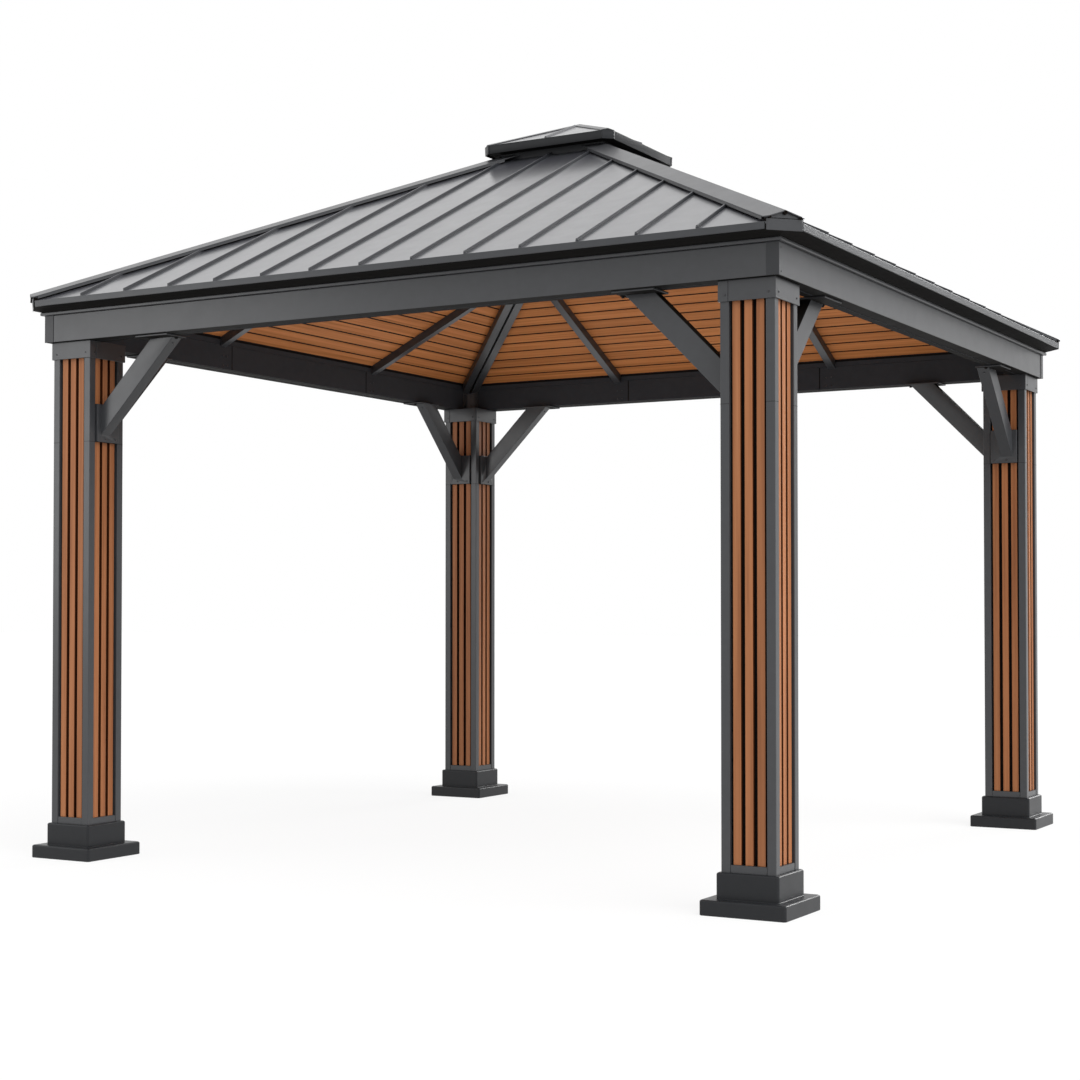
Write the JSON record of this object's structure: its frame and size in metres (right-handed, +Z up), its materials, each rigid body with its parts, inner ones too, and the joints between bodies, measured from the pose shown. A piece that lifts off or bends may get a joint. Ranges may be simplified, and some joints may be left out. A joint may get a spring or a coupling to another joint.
{
  "type": "gazebo",
  "caption": "Square hard-roof gazebo with slatted posts, a braced ring beam, a boarded hip ceiling, a standing-seam hip roof and a small cupola roof.",
  "frame": {"origin": "centre of the plan at the floor under the plinths", "axes": "+Z up, -Y towards the front side, +X to the right seen from the front"},
  "size_m": [3.46, 3.46, 3.2169],
  "materials": {
    "frame_paint": "satin charcoal powder coat",
    "roof_sheet": "satin charcoal coated sheet",
    "wood_grain": "satin wood-grain coating"
  },
  "bodies": {
    "root": {"front_right_plinth": "frame_paint", "back_right_plinth": "frame_paint", "back_left_plinth": "frame_paint", "front_left_plinth": "frame_paint", "front_right_post": "frame_paint", "back_right_post": "frame_paint", "back_left_post": "frame_paint", "front_left_post": "frame_paint", "front_right_slats": "wood_grain", "back_right_slats": "wood_grain", "back_left_slats": "wood_grain", "front_left_slats": "wood_grain", "post_collars": "frame_paint", "front_right_braces": "frame_paint", "back_right_braces": "frame_paint", "back_left_braces": "frame_paint", "front_left_braces": "frame_paint", "front_beam": "frame_paint", "right_beam": "frame_paint", "back_beam": "frame_paint", "left_beam": "frame_paint", "beam_corner_covers": "frame_paint", "front_eave": "frame_paint", "right_eave": "frame_paint", "back_eave": "frame_paint", "left_eave": "frame_paint", "eave_corner_caps": "frame_paint", "front_roof_panel": "roof_sheet", "right_roof_panel": "roof_sheet", "back_roof_panel": "roof_sheet", "left_roof_panel": "roof_sheet", "hip_caps": "frame_paint", "front_ceiling": "wood_grain", "right_ceiling": "wood_grain", "back_ceiling": "wood_grain", "left_ceiling": "wood_grain", "rafters": "frame_paint", "hip_rafters": "frame_paint", "crown_frame": "frame_paint", "cupola_curb": "frame_paint", "cupola_soffit": "frame_paint", "cupola_trim": "frame_paint", "cupola_roof": "roof_sheet", "cupola_hip_caps": "frame_paint"}
  },
  "joints": []
}
